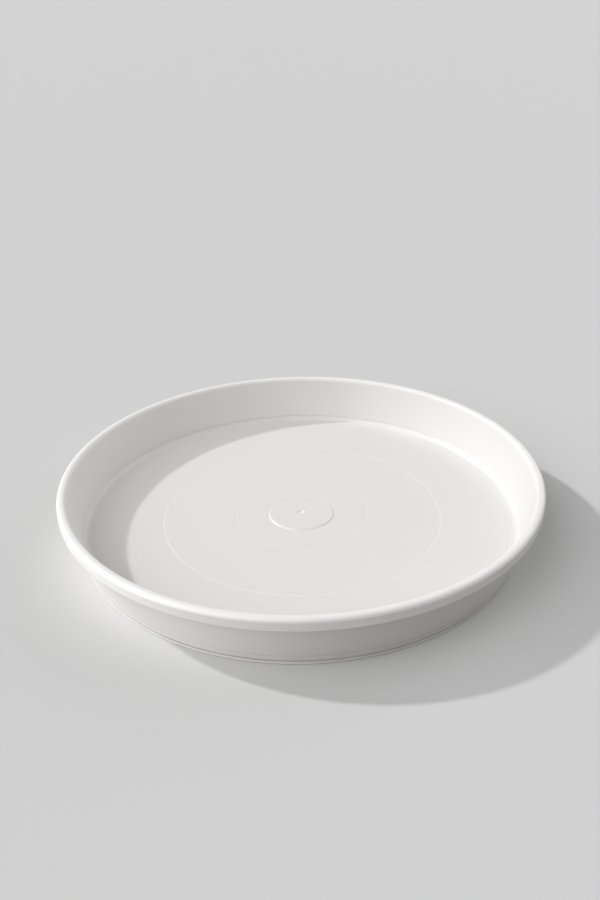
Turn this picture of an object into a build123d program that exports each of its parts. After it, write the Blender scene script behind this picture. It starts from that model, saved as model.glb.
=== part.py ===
from build123d import *

import os
from math import cos, radians, sin, tan

# A round plant saucer, moulded in one piece: a flat floor that a pot stands on, a cove up to a
# leaning wall, a rim turned over into a short skirt, and a foot ring that holds the floor off
# the table. Millimetres, +Z up, the origin on the table at the middle of the foot ring.

# Overall sizes
rim_radius = 150.0
height = 39.0
wall_thickness = 2.2
wall_lean_angle = 15.3

# Floor, and the cove that turns it up into the wall
floor_height = 8.0
floor_thickness = 2.2
cove_radius = 3.8
cove_sweep = 68.0
cove_land = 0.9

# Rim, turned over into a skirt with an open channel behind it
rim_width = 5.3
rim_thickness = 2.4
rim_inner_round = 2.4
rim_outer_round = 2.6
skirt_height = 7.2
skirt_thickness = 2.0
skirt_edge_round = 0.4
channel_round = 0.4

# Foot ring, with a bead at the table and a groove above it
foot_thickness = 2.2
foot_edge_round = 0.8
bead_height = 1.95
groove_height = 0.8
groove_depth = 0.95
groove_round = 0.25
underside_round = 1.0

# Marks that the mould leaves on the floor
gate_radius = 1.8
gate_depth = 0.5
gate_slope = 0.2
gate_ring_radius = 6.3
disc_radius = 20.2
disc_height = 0.6
disc_slope = 1.1
moat_depth = 0.23
moat_slope = 0.2
middle_ring_gap = 22.0
outer_ring_inset = 45.0
ring_width = 1.1
ring_depth = 0.2

# A rounding takes at most this share of the shortest face beside it
rounding_share = 0.45


def sharp(radius, level):
    """One corner of the section that is left sharp."""
    return (radius, level, 0)


def rounding_within(rounding, *faces):
    """A rounding, held to what the faces beside it leave room for."""
    return min(rounding, rounding_share * min(faces))


def hairline(radius, level):
    """A fine groove that runs round the floor, as the three corners of its section."""
    half_width = ring_width / 2
    return [
        sharp(radius - half_width, level),
        sharp(radius, level - ring_depth),
        sharp(radius + half_width, level),
    ]


# The wall leans out evenly, so its faces are placed from the rim's inner edge down
rim_inner_radius = rim_radius - rim_width
wall_lean = tan(radians(wall_lean_angle))
wall_across = wall_thickness / cos(radians(wall_lean_angle))


def wall_inside(level):
    """The radius of the wall's inner face at a height above the table."""
    return rim_inner_radius - wall_lean * (height - level)


def wall_outside(level):
    """The radius of the wall's outer face at a height above the table."""
    return wall_inside(level) + wall_across


# The cove starts flat at the floor's edge and ends at the wall's foot, where the slope changes
cove_reach = cove_radius * tan(radians(cove_sweep) / 2)
cove_climb = cove_reach + cove_land
wall_foot_height = floor_height + cove_climb * sin(radians(cove_sweep))
wall_foot_radius = wall_inside(wall_foot_height)
cove_corner = wall_foot_radius - cove_climb * cos(radians(cove_sweep))
floor_radius = cove_corner - cove_reach


def floor_corners():
    """The top of the floor, from the moulding gate in the middle out past the hairline rings."""
    disc_top = floor_height + disc_height
    gate_bottom = disc_top - gate_depth
    gate = [
        sharp(0, gate_bottom),
        sharp(gate_radius - gate_slope, gate_bottom),
        sharp(gate_radius, disc_top),
    ]
    gate_ring = hairline(gate_ring_radius, disc_top)
    moat_radius = disc_radius + disc_slope
    disc_edge = [
        sharp(disc_radius, disc_top),
        sharp(moat_radius, floor_height - moat_depth),
        sharp(moat_radius + moat_slope, floor_height),
    ]
    middle_ring = hairline(disc_radius + middle_ring_gap, floor_height)
    outer_ring = hairline(floor_radius - outer_ring_inset, floor_height)
    return gate + gate_ring + disc_edge + middle_ring + outer_ring


def inside_corners():
    """The cove, the wall's inner face and the rounded top of the rim."""
    outer_round = min(rim_outer_round, rim_width, skirt_height)
    inner_half_turn = radians(90 - wall_lean_angle) / 2
    inner_round = min(rim_inner_round, (rim_width - outer_round) / tan(inner_half_turn))
    return [
        (cove_corner, floor_height, cove_radius),
        sharp(wall_foot_radius, wall_foot_height),
        (rim_inner_radius, height, inner_round),
        (rim_radius, height, outer_round),
    ]


def skirt_corners():
    """The skirt's lower edge and the channel between the skirt and the wall."""
    skirt_bottom = height - skirt_height
    skirt_inside = rim_radius - skirt_thickness
    channel_top = height - rim_thickness
    channel_inside = wall_outside(channel_top)
    edge_round = rounding_within(skirt_edge_round, skirt_thickness)
    corner_round = rounding_within(channel_round, skirt_inside - channel_inside)
    return [
        (rim_radius, skirt_bottom, edge_round),
        (skirt_inside, skirt_bottom, edge_round),
        (skirt_inside, channel_top, corner_round),
        (channel_inside, channel_top, corner_round),
    ]


def foot_corners():
    """The groove, the bead that meets the table, and the hollow underneath the floor."""
    groove_top = bead_height + groove_height
    foot_radius = wall_outside(groove_top)
    groove_radius = foot_radius - groove_depth
    foot_inside = foot_radius - foot_thickness
    underside = floor_height - floor_thickness
    corner_round = rounding_within(groove_round, groove_height, groove_depth)
    edge_round = rounding_within(foot_edge_round, bead_height, foot_thickness)
    hollow_round = rounding_within(underside_round, underside)
    return [
        (wall_outside(groove_top), groove_top, corner_round),
        (groove_radius, groove_top, corner_round),
        (groove_radius, bead_height, corner_round),
        (foot_radius, bead_height, corner_round),
        (foot_radius, 0, edge_round),
        (foot_inside, 0, corner_round),
        (foot_inside, underside, hollow_round),
        sharp(0, underside),
    ]


def make_saucer():
    """The section swept once round the middle."""
    corners = floor_corners() + inside_corners() + skirt_corners() + foot_corners()
    points = [(radius, level) for radius, level, rounding in corners]
    roundings = [rounding for radius, level, rounding in corners]
    section = make_face(FilletPolyline(*points, radius=roundings, close=True))
    return revolve(Plane.XZ * section, Axis.Z)


os.makedirs("parts", exist_ok=True)
export_step(make_saucer(), "parts/saucer.step")
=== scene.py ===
# %% [markdown]
# # A white plant saucer, moulded in one piece
#
# A plant saucer is one plastic moulding: a flat floor, a cove, a leaning wall, a rim turned over into a
# skirt, and a foot ring. It has no second piece and no seam, so all of its character lies in its section
# and in its finish. This lesson draws the section corner by corner, rounds it, spins it round the middle,
# and then gives it the satin skin of moulded polypropylene.

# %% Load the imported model
import math

import bmesh
import bpy
from mathutils import Matrix, Vector


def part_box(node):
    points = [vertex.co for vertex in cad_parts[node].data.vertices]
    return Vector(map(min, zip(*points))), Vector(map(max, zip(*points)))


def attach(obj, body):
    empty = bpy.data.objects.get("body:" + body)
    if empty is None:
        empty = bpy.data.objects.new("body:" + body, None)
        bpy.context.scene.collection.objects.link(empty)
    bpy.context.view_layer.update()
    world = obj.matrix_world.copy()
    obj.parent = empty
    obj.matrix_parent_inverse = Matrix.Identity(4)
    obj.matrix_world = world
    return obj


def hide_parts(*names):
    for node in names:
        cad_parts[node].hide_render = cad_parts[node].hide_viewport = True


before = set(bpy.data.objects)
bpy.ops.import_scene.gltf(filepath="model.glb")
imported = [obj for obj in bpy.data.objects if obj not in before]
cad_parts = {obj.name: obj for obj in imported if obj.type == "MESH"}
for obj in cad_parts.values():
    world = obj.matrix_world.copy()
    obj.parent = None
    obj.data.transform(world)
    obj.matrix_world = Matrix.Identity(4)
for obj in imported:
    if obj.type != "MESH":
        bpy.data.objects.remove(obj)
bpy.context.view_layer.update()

# %% [markdown]
# ## Sizes
#
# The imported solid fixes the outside: its box gives the rim's radius and the height. The other sizes are the
# solid's own, repeated here in millimetres, so that the dressed piece lies exactly where the solid does.
# The wall leans out evenly, so one small function gives its radius at any height.

# %% Measure the solid and name the sizes of its wall
mm = 0.001
solid_low, solid_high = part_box("saucer")
rim_radius = solid_high[0]
rim_top = solid_high[2]
rim_width = 5.3 * mm
rim_inside = rim_radius - rim_width

wall_lean_angle = math.radians(15.3)
wall_thickness = 2.2 * mm
wall_across = wall_thickness / math.cos(wall_lean_angle)


def wall_inside(level):
    """The radius of the wall's inner face at a height above the ground."""
    return rim_inside - math.tan(wall_lean_angle) * (rim_top - level)


def wall_outside(level):
    """The radius of the wall's outer face at a height above the ground."""
    return wall_inside(level) + wall_across


print("rim radius %.1f mm, height %.1f mm" % (rim_radius / mm, (rim_top - solid_low[2]) / mm))

# %% [markdown]
# ## The section, corner by corner
#
# A lathe-like shape is easiest to read as its section: half of the saucer cut through the middle. Each
# corner is a radius, a height and a rounding. The marks that a mould leaves are corners too: the dimple
# where the plastic came in, the low disc round it, hairline grooves on the floor, and the fine lines where
# the blocks of the mould meet. Most are well under a millimetre deep, and real geometry shows them better
# than a painted line would, because they catch the light.

# %% Name the roundings that the fine marks share
crisp_round = 0.05 * mm
fine_round = 0.06 * mm
soft_round = 0.08 * mm
hairline_round_share = 0.1


def hairline(radius, level, width, depth):
    """A hairline groove round the floor, as the corners of its section."""
    rounding = hairline_round_share * width
    return [
        (radius - width / 2, level, rounding),
        (radius, level - depth, rounding),
        (radius + width / 2, level, rounding),
    ]


print("fine marks are rounded by %.2f to %.2f mm" % (crisp_round / mm, soft_round / mm))

# %% Draw the marks on the floor
floor_level = 8.0 * mm
gate_radius = 1.8 * mm
gate_slope = 0.2 * mm
gate_depth = 0.5 * mm
gate_floor_round = 0.15 * mm
gate_ring_radius = 6.3 * mm
gate_ring_width = 0.9 * mm
gate_ring_depth = 0.1 * mm
disc_radius = 20.2 * mm
disc_rise = 0.6 * mm
disc_slope = 1.1 * mm
disc_edge_round = 0.12 * mm
moat_depth = 0.23 * mm
moat_slope = 0.2 * mm
middle_ring_radius = 42.2 * mm
middle_ring_width = 1.1 * mm
middle_ring_depth = 0.15 * mm
outer_ring_radius = 88.2 * mm
outer_ring_width = 1.2 * mm
outer_ring_depth = 0.2 * mm

disc_level = floor_level + disc_rise
gate_level = disc_level - gate_depth
moat_radius = disc_radius + disc_slope
gate_corners = [
    (0.0, gate_level, 0.0),
    (gate_radius - gate_slope, gate_level, gate_floor_round),
    (gate_radius, disc_level, soft_round),
]
disc_corners = [
    (disc_radius, disc_level, disc_edge_round),
    (moat_radius, floor_level - moat_depth, crisp_round),
    (moat_radius + moat_slope, floor_level, crisp_round),
]
floor_corners = (
    gate_corners
    + hairline(gate_ring_radius, disc_level, gate_ring_width, gate_ring_depth)
    + disc_corners
    + hairline(middle_ring_radius, floor_level, middle_ring_width, middle_ring_depth)
    + hairline(outer_ring_radius, floor_level, outer_ring_width, outer_ring_depth)
)
print("the floor has", len(floor_corners), "corners from the gate to the last hairline")

# %% Draw the cove and the wall's foot
cove_round = 3.8 * mm
cove_sweep = math.radians(68.0)
cove_land = 0.9 * mm
edge_line_radius = 131.0 * mm
edge_line_half = 0.3 * mm
edge_line_depth = 0.2 * mm
crease_below = 0.2 * mm
crease_above = 0.4 * mm
crease_depth = 0.4 * mm
lip_bulge = 0.08 * mm
lip_height = 0.9 * mm
lip_round = 0.3 * mm

cove_reach = cove_round * math.tan(cove_sweep / 2)
cove_climb = cove_reach + cove_land
wall_foot = floor_level + cove_climb * math.sin(cove_sweep)
wall_foot_radius = wall_inside(wall_foot)
cove_corner = wall_foot_radius - cove_climb * math.cos(cove_sweep)
cove_start = cove_corner - cove_reach

crease_bottom = wall_foot - crease_below * math.tan(cove_sweep)
crease_top = wall_foot + crease_above
lip_top = wall_foot + lip_height
cove_corners = [
    (edge_line_radius - edge_line_half, floor_level, fine_round),
    (edge_line_radius, floor_level - edge_line_depth, crisp_round),
    (edge_line_radius + edge_line_half, floor_level, fine_round),
    (cove_corner, floor_level, cove_round),
    (wall_foot_radius - crease_below, crease_bottom, fine_round),
    (wall_foot_radius + crease_depth, wall_foot, crisp_round),
    (wall_inside(crease_top) - lip_bulge, crease_top, soft_round),
    (wall_inside(lip_top), lip_top, lip_round),
]
print("the cove starts at radius %.1f mm" % (cove_start / mm))

# %% Draw the rim and the skirt
rim_thickness = 2.4 * mm
rim_inner_round = 2.4 * mm
rim_outer_round = 2.6 * mm
skirt_height = 7.2 * mm
skirt_thickness = 2.0 * mm
skirt_round = 0.4 * mm

skirt_bottom = rim_top - skirt_height
skirt_inside = rim_radius - skirt_thickness
channel_top = rim_top - rim_thickness
rim_corners = [
    (rim_inside, rim_top, rim_inner_round),
    (rim_radius, rim_top, rim_outer_round),
    (rim_radius, skirt_bottom, skirt_round),
    (skirt_inside, skirt_bottom, skirt_round),
    (skirt_inside, channel_top, skirt_round),
    (wall_outside(channel_top), channel_top, skirt_round),
]
print("the skirt hangs %.1f mm below the rim" % (skirt_height / mm))

# %% Draw the witness line, the foot bead and the hollow underneath
witness_level = 6.45 * mm
witness_half = 0.3 * mm
witness_depth = 0.15 * mm
bead_top = 1.95 * mm
bead_round = 0.25 * mm
groove_height = 0.8 * mm
groove_depth = 0.95 * mm
groove_edge_round = 0.15 * mm
groove_round = 0.2 * mm
foot_thickness = 2.2 * mm
foot_round = 0.8 * mm
floor_thickness = 2.2 * mm
hollow_round = 1.0 * mm

witness_top = witness_level + witness_half
witness_bottom = witness_level - witness_half
witness_corners = [
    (wall_outside(witness_top), witness_top, soft_round),
    (wall_outside(witness_level) - witness_depth, witness_level, fine_round),
    (wall_outside(witness_bottom), witness_bottom, soft_round),
]

groove_top = bead_top + groove_height
foot_radius = wall_outside(groove_top)
groove_radius = foot_radius - groove_depth
foot_inside = foot_radius - foot_thickness
floor_underside = floor_level - floor_thickness
foot_corners = [
    (foot_radius, groove_top, groove_edge_round),
    (groove_radius, groove_top, groove_round),
    (groove_radius, bead_top, groove_round),
    (foot_radius, bead_top, bead_round),
    (foot_radius, 0.0, foot_round),
    (foot_inside, 0.0, bead_round),
    (foot_inside, floor_underside, hollow_round),
    (0.0, floor_underside, 0.0),
]
section = floor_corners + cove_corners + rim_corners + witness_corners + foot_corners
print("the whole section has", len(section), "corners")

# %% [markdown]
# ## Rounding the corners and spinning the section
#
# The section becomes a chain of vertices, and a vertex bevel rounds each corner. A bevel's offset is the
# length that it takes off each edge, so the wanted radius is turned into that length first. Large
# roundings get a segment for every few degrees, so that they shade evenly, and tiny ones get two. A spin
# with its ends merged then closes the ring, and the doubles on the axis are merged into single poles.

# %% Round the corners of the chain
arc_step = math.radians(6.0)
tiny_rounding = 0.35 * mm
tiny_segments = 2
round_profile = 0.5


def round_corner(bm, corner, rounding):
    """Replaces one vertex of a chain by an arc of that radius."""
    ways = [edge.other_vert(corner).co - corner.co for edge in corner.link_edges]
    turn = math.pi - ways[0].angle(ways[1])
    segments = tiny_segments if rounding < tiny_rounding else math.ceil(turn / arc_step)
    bmesh.ops.bevel(
        bm,
        geom=[corner],
        affect="VERTICES",
        offset=rounding * math.tan(turn / 2),
        offset_type="OFFSET",
        segments=segments,
        profile=round_profile,
        material=-1,
        clamp_overlap=False,
    )


def section_chain(corners):
    """The section as a bmesh chain, with its corners rounded."""
    bm = bmesh.new()
    chain = [bm.verts.new((radius, 0.0, level)) for radius, level, rounding in corners]
    for near, far in zip(chain, chain[1:]):
        bm.edges.new((near, far))
    for corner, (radius, level, rounding) in zip(chain, corners):
        if rounding > 0:
            round_corner(bm, corner, rounding)
    return bm


saucer_bm = section_chain(section)
print("rounded, the section has", len(saucer_bm.verts), "points")

# %% Spin the section into the saucer
spin_steps = 288
merge_distance = 0.001 * mm
smooth_limit = math.radians(24.0)

bmesh.ops.spin(
    saucer_bm,
    geom=saucer_bm.verts[:] + saucer_bm.edges[:],
    cent=(0.0, 0.0, 0.0),
    axis=(0.0, 0.0, 1.0),
    angle=2 * math.pi,
    steps=spin_steps,
    use_merge=True,
)
bmesh.ops.remove_doubles(saucer_bm, verts=saucer_bm.verts, dist=merge_distance)
bmesh.ops.recalc_face_normals(saucer_bm, faces=saucer_bm.faces)
open_edges = [edge for edge in saucer_bm.edges if not edge.is_manifold]

saucer_mesh = bpy.data.meshes.new("saucer_moulding")
saucer_bm.to_mesh(saucer_mesh)
saucer_bm.free()
saucer_mesh.shade_smooth()
saucer_mesh.set_sharp_from_angle(angle=smooth_limit)
saucer = bpy.data.objects.new("saucer_moulding", saucer_mesh)
bpy.context.scene.collection.objects.link(saucer)

even_shading = saucer.modifiers.new("even_shading", "WEIGHTED_NORMAL")
even_shading.keep_sharp = True

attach(saucer, "root")
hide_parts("saucer")
print("spun into", len(saucer_mesh.polygons), "faces, with", len(open_edges), "open edges")

# %% [markdown]
# ## The finish
#
# Moulded polypropylene is a slightly warm white with a satin skin. The mould leaves a fine grain in it, and
# faint turning marks where the floor's block was cut on a lathe. The melt leaves soft clouds and faint
# streaks that run out from the gate. The gate, the hairlines and the rim are a little smoother, and a
# painted highlight makes them whiter. The groove, the bead and the witness line at the foot and the crease
# at the wall's foot get painted shade, a darker grey. Everything is worked out from the piece's own Object
# coordinates: because the saucer is round, the distance from the axis and the height place every mark.

# %% Helpers for building node trees
mix_color_sockets = (0, 6, 7)
mix_color_output = 2


def add_node(tree, kind, values=None, **settings):
    """A new node with its settings and with values for its input sockets."""
    node = tree.nodes.new(kind)
    for name, setting in settings.items():
        setattr(node, name, setting)
    for socket, value in (values or {}).items():
        feed(tree, value, node.inputs[socket])
    return node


def feed(tree, value, socket):
    """Links another node's output to a socket, or sets the socket to a plain value."""
    if isinstance(value, bpy.types.NodeSocket):
        tree.links.new(value, socket)
    else:
        socket.default_value = value


def calculate(tree, operation, first, second=0.0):
    """One step of arithmetic on values that change over the surface."""
    return add_node(tree, "ShaderNodeMath", {0: first, 1: second}, operation=operation).outputs[0]


def product(tree, first, second):
    """Two values multiplied, such as a mask and its strength."""
    return calculate(tree, "MULTIPLY", first, second)


def strongest(tree, masks):
    """The largest of several masks."""
    top = masks[0]
    for mask in masks[1:]:
        top = calculate(tree, "MAXIMUM", top, mask)
    return top


def remap(tree, value, low, high, from_low=0.0, from_high=1.0):
    """Carries a value over from one range to another."""
    limits = {"From Min": from_low, "From Max": from_high, "To Min": low, "To Max": high}
    return add_node(tree, "ShaderNodeMapRange", {"Value": value, **limits}).outputs["Result"]


def tinted(tree, factor, first, second):
    """One colour turned towards another by a factor."""
    values = dict(zip(mix_color_sockets, (factor, first, second)))
    return add_node(tree, "ShaderNodeMix", values, data_type="RGBA").outputs[mix_color_output]


def vector_step(tree, operation, values):
    """One step of arithmetic on vectors, as a node."""
    return add_node(tree, "ShaderNodeVectorMath", values, operation=operation)


def mottle(tree, vector, scale, detail, roughness=0.5):
    """A soft noise over the surface, between 0 and 1."""
    values = {"Vector": vector, "Scale": scale, "Detail": detail, "Roughness": roughness}
    return add_node(tree, "ShaderNodeTexNoise", values).outputs["Fac"]


print("helpers ready")


# %% Build a mask for bands round the axis
def make_band_group():
    """A mask that is 1 where a distance is at a centre and falls to 0 at a half width from it."""
    group = bpy.data.node_groups.new("band_mask", "ShaderNodeTree")
    for name in ("Distance", "Centre", "Half Width"):
        group.interface.new_socket(name, in_out="INPUT", socket_type="NodeSocketFloat")
    group.interface.new_socket("Mask", in_out="OUTPUT", socket_type="NodeSocketFloat")
    given = add_node(group, "NodeGroupInput").outputs
    away = calculate(group, "ABSOLUTE", calculate(group, "SUBTRACT", given["Distance"], given["Centre"]))
    limits = {"Value": away, "From Max": given["Half Width"], "To Min": 1.0, "To Max": 0.0}
    fall = add_node(group, "ShaderNodeMapRange", limits, interpolation_type="SMOOTHSTEP")
    add_node(group, "NodeGroupOutput", {"Mask": fall.outputs["Result"]})
    return group


band_group = make_band_group()


def band(tree, distance, centre, half_width):
    """The band mask, placed in a material."""
    values = {"Distance": distance, "Centre": centre, "Half Width": half_width}
    return add_node(tree, "ShaderNodeGroup", node_tree=band_group, values=values).outputs["Mask"]


print("mask group with sockets", [item.name for item in band_group.interface.items_tree])

# %% Mask the painted highlights and the painted shade
# Each hairline has a whiter band round it, a painted highlight, with a half width and a strength
highlight_rings = [
    (outer_ring_radius, 0.6 * mm, 0.8),
    (middle_ring_radius, 0.5 * mm, 0.5),
    (gate_ring_radius, 0.5 * mm, 0.35),
]
# The gate and the rim get the same painted highlight, on the floor's upper side only
highlight_gate_full = gate_radius - 0.1 * mm
highlight_gate_end = gate_radius + 0.2 * mm
highlight_rim_half = 3.0 * mm
highlight_from = floor_underside + 0.4 * mm
highlight_fully_from = floor_underside + 1.4 * mm

# Painted shade: where and how strongly the groove, the bead, the witness line and the crease are darkened
groove_shade_level = bead_top + 0.2 * mm
groove_shade_half = 0.6 * mm
line_shade_half = 0.35 * mm
bead_shade = 0.15
bead_shade_end = bead_top + 0.3 * mm
crease_shade = 0.3
crease_shade_full = wall_foot_radius + 0.6 * mm
crease_shade_end = wall_foot_radius + 1.0 * mm
shade_thin = 0.4
shade_thick = 0.8


def highlight_and_polish_mask(tree, radius, level):
    """Painted highlight and polish on the gate, the hairlines and the rim, on the upper side of the floor
    only.
    """
    rings = [product(tree, band(tree, radius, ring, half), strength) for ring, half, strength in highlight_rings]
    gate = remap(tree, radius, 1.0, 0.0, highlight_gate_full, highlight_gate_end)
    rim = band(tree, level, rim_top, highlight_rim_half)
    above = remap(tree, level, 0.0, 1.0, highlight_from, highlight_fully_from)
    return product(tree, strongest(tree, rings + [gate, rim]), above)


def crevice_shade_mask(tree, radius, level, smudges):
    """Painted shade in the groove, on the bead and in the witness line outside, and in the crease inside."""
    outside = remap(tree, radius, 0.0, 1.0, foot_inside, groove_radius)
    groove = band(tree, level, groove_shade_level, groove_shade_half)
    witness = band(tree, level, witness_level, line_shade_half)
    bead = remap(tree, level, bead_shade, 0.0, bead_top, bead_shade_end)
    foot = product(tree, outside, strongest(tree, [groove, witness, bead]))
    inside = remap(tree, radius, crease_shade, 0.0, crease_shade_full, crease_shade_end)
    crease = product(tree, inside, band(tree, level, wall_foot, line_shade_half))
    return product(tree, strongest(tree, [foot, crease]), remap(tree, smudges, shade_thin, shade_thick))


# The painted shade on the outside reaches from the ground up to this height
print("dust gathers from the ground up to %.1f mm on the outside" % ((witness_level + line_shade_half) / mm))

# %% Build the white plastic
white = (0.840, 0.825, 0.805, 1.0)
cool_white = (0.822, 0.809, 0.790, 1.0)
# Painted highlight: the gate, the hairlines and the rim are turned towards this whiter colour
highlight_white = (0.940, 0.925, 0.905, 1.0)
# Painted shade: the grooves, the bead, the witness line and the crease are turned towards this grey
shade_grey = (0.360, 0.340, 0.320, 1.0)
plastic_ior = 1.49

flat = (1.0, 1.0, 0.0)
cloud_scale = 24.0
cloud_detail = 3.0
grain_scale = 1500.0
grain_detail = 2.0
smudge_scale = 90.0
streak_scale = 9.0
rich_detail = 4.0
rich_roughness = 0.6
turning_scale = 900.0
streak_strength = 0.5

satin_smooth = 0.40
satin_rough = 0.48
grain_swing = 0.03
turning_swing = 0.03
rubbed_polish = 0.06
crevice_dulling = 0.2

wave_strength = 0.5
wave_height = 0.3 * mm
peel_strength = 0.3
peel_height = 0.03 * mm


def make_white_plastic():
    """Satin moulded polypropylene."""
    material = bpy.data.materials.new("white_plastic")
    material.use_nodes = True
    tree = material.node_tree
    shader = tree.nodes["Principled BSDF"]
    shader.inputs["IOR"].default_value = plastic_ior

    place = add_node(tree, "ShaderNodeTexCoord").outputs["Object"]
    level = add_node(tree, "ShaderNodeSeparateXYZ", {0: place}).outputs["Z"]
    across = vector_step(tree, "MULTIPLY", {0: place, 1: flat}).outputs[0]
    radius = vector_step(tree, "LENGTH", {0: across}).outputs["Value"]
    bearing = vector_step(tree, "NORMALIZE", {0: across}).outputs[0]

    clouds = mottle(tree, place, cloud_scale, cloud_detail)
    grain = mottle(tree, place, grain_scale, grain_detail)
    smudges = mottle(tree, place, smudge_scale, rich_detail, rich_roughness)
    streaks = mottle(tree, bearing, streak_scale, rich_detail, rich_roughness)
    rings = {"W": radius, "Scale": turning_scale}
    turning = add_node(tree, "ShaderNodeTexNoise", rings, noise_dimensions="1D").outputs["Fac"]

    on_floor = remap(tree, radius, 1.0, 0.0, edge_line_radius, cove_start)
    highlight_and_polish = highlight_and_polish_mask(tree, radius, level)
    crevice_shade = crevice_shade_mask(tree, radius, level, smudges)

    tint = tinted(tree, clouds, white, cool_white)
    streaky = product(tree, on_floor, remap(tree, streaks, 0.0, streak_strength))
    tint = tinted(tree, streaky, tint, cool_white)
    # Painted highlight: the gate, the hairlines and the rim are turned whiter
    tint = tinted(tree, highlight_and_polish, tint, highlight_white)
    # Painted shade: the foot's groove, bead and witness line and the wall's foot crease are turned grey
    feed(tree, tinted(tree, crevice_shade, tint, shade_grey), shader.inputs["Base Color"])

    rough = remap(tree, smudges, satin_smooth, satin_rough)
    rough = calculate(tree, "ADD", rough, remap(tree, grain, -grain_swing, grain_swing))
    turned = product(tree, on_floor, remap(tree, turning, -turning_swing, turning_swing))
    rough = calculate(tree, "ADD", rough, turned)
    rough = calculate(tree, "SUBTRACT", rough, product(tree, highlight_and_polish, rubbed_polish))
    rough = calculate(tree, "ADD", rough, product(tree, crevice_shade, crevice_dulling))
    feed(tree, rough, shader.inputs["Roughness"])

    wave_values = {"Height": clouds, "Strength": wave_strength, "Distance": wave_height}
    waves = add_node(tree, "ShaderNodeBump", wave_values).outputs["Normal"]
    peel_values = {"Height": grain, "Strength": peel_strength, "Distance": peel_height, "Normal": waves}
    peel = add_node(tree, "ShaderNodeBump", peel_values).outputs["Normal"]
    feed(tree, peel, shader.inputs["Normal"])
    return material


white_plastic = make_white_plastic()
saucer_mesh.materials.append(white_plastic)
print("finish with", len(white_plastic.node_tree.nodes), "nodes")

# %% [markdown]
# ## A pale floor and soft light
#
# The saucer is white, so the floor under it is a pale grey that lets the rim stand out. A small lamp from
# the left and slightly behind draws the clear shadow of the wall. A broad window in front of it makes that
# shadow fade towards the wall's foot, and two dim cards, on the right and in front, open up the shade. A
# strip lamp that lies on the floor at the left, lower than the rim, lights only the saucer, and light
# linking keeps its glare off the floor. The floor and the sky that the camera sees are set apart from
# those that light the piece, so the background stays pale without more light on the plastic.


# %% Lay the floor
def only_for_rays(tree, rays, unseen, shown):
    """A mix that gives its second colour to the rays that look at it and its first to the light."""
    looking = add_node(tree, "ShaderNodeLightPath").outputs
    factor = strongest(tree, [looking[ray] for ray in rays])
    return tinted(tree, factor, unseen, shown)


floor_half = 12.0
floor_bounce = (0.42, 0.42, 0.42, 1.0)
floor_shown = (0.70, 0.70, 0.70, 1.0)
paper_roughness = 0.9
paper_specular = 0.1

floor_bm = bmesh.new()
bmesh.ops.create_grid(floor_bm, x_segments=1, y_segments=1, size=floor_half)
floor_mesh = bpy.data.meshes.new("studio_floor")
floor_bm.to_mesh(floor_mesh)
floor_bm.free()
studio_floor = bpy.data.objects.new("studio_floor", floor_mesh)
bpy.context.scene.collection.objects.link(studio_floor)

paper = bpy.data.materials.new("studio_paper")
paper.use_nodes = True
paper_shader = paper.node_tree.nodes["Principled BSDF"]
paper_shader.inputs["Roughness"].default_value = paper_roughness
paper_shader.inputs["Specular IOR Level"].default_value = paper_specular
paper_color = only_for_rays(paper.node_tree, ["Is Camera Ray"], floor_bounce, floor_shown)
feed(paper.node_tree, paper_color, paper_shader.inputs["Base Color"])
floor_mesh.materials.append(paper)
print("floor is", 2 * floor_half, "m across")


# %% Hang the lamps
lamp_distance = 2.0
sharp_spread = 3.0
broad_spread = 60.0


def hang_lamp(name, turn, climb, spread, strength):
    """A far-off lamp at a bearing and a height in degrees, softened over a spread of degrees."""
    lamp = bpy.data.lights.new(name, "SUN")
    lamp.angle = math.radians(spread)
    lamp.energy = strength
    obj = bpy.data.objects.new(name, lamp)
    bearing = Matrix.Rotation(math.radians(turn), 4, "Z") @ Matrix.Rotation(-math.radians(climb), 4, "Y")
    obj.location = bearing @ Vector((lamp_distance, 0.0, 0.0))
    obj.rotation_euler = obj.location.to_track_quat("Z", "Y").to_euler()
    bpy.context.scene.collection.objects.link(obj)


hang_lamp("key", turn=158.0, climb=37.5, spread=sharp_spread, strength=1.32)
hang_lamp("window", turn=208.0, climb=42.0, spread=broad_spread, strength=1.04)
hang_lamp("right_card", turn=30.0, climb=20.0, spread=broad_spread, strength=0.98)
hang_lamp("front_card", turn=240.0, climb=42.0, spread=broad_spread, strength=0.54)
print("hung the lamps", sorted(lamp.name for lamp in bpy.data.lights))

# %% Lay a strip lamp on the floor
strip_place = Vector((-0.55, -0.22, 0.02))
strip_length = 0.30
strip_width = 0.03
strip_power = 0.9

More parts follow.
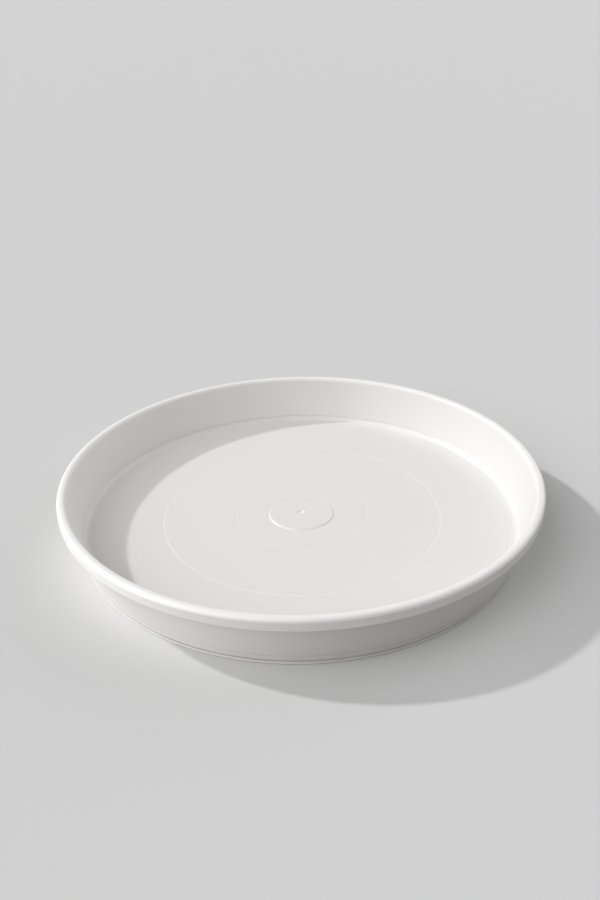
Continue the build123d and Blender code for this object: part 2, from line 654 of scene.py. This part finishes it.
strip = bpy.data.lights.new("low_strip", "AREA")
strip.shape = "RECTANGLE"
strip.size = strip_length
strip.size_y = strip_width
strip.energy = strip_power
low_strip = bpy.data.objects.new("low_strip", strip)
low_strip.location = strip_place
low_strip.rotation_euler = Vector((strip_place.x, strip_place.y, 0.0)).to_track_quat("Z", "Y").to_euler()
low_strip.visible_camera = False
bpy.context.scene.collection.objects.link(low_strip)
strip_lights = bpy.data.collections.new("strip_lights")
strip_lights.objects.link(saucer)
low_strip.light_linking.receiver_collection = strip_lights
print("the strip lies", round(strip_place.length, 2), "m from the middle, lower than the rim")

# %% Set the sky
sky_light = (0.20, 0.20, 0.20, 1.0)
sky_shown = (0.85, 0.85, 0.85, 1.0)
sky_rays = ["Is Camera Ray", "Is Glossy Ray", "Is Transmission Ray"]

world = bpy.data.worlds.new("studio")
world.use_nodes = True
bpy.context.scene.world = world
sky = world.node_tree.nodes["Background"]
sky_color = only_for_rays(world.node_tree, sky_rays, sky_light, sky_shown)
feed(world.node_tree, sky_color, sky.inputs["Color"])
print("the sky lights with", sky_light[0], "and shows as", sky_shown[0])

# %% [markdown]
# ## The camera
#
# The picture was taken from in front and above, about 0.6 m away, with the camera tipped a degree to one
# side. The place and the tilt were worked out from the rim's outline and the rings on the floor. The
# picture is 900 pixels tall, so a focal length in pixels becomes a lens on a 36 mm sensor.

# %% Place the camera
camera_place = Vector((0.0, -0.5169, 0.3260))
camera_pitch = math.radians(27.789)
camera_roll = math.radians(-1.209)
picture_height = 900
focal_pixels = 942.4
sensor = 36.0

camera_lens = bpy.data.cameras.new("camera")
camera_lens.sensor_width = sensor
camera_lens.lens = focal_pixels * sensor / picture_height
camera = bpy.data.objects.new("camera", camera_lens)
tilt = Matrix.Rotation(math.pi / 2 - camera_pitch, 4, "X") @ Matrix.Rotation(camera_roll, 4, "Z")
camera.matrix_world = Matrix.Translation(camera_place) @ tilt
bpy.context.scene.collection.objects.link(camera)
bpy.context.scene.camera = camera
bpy.context.scene.view_settings.view_transform = "Standard"
print("lens of %.1f mm" % camera_lens.lens)
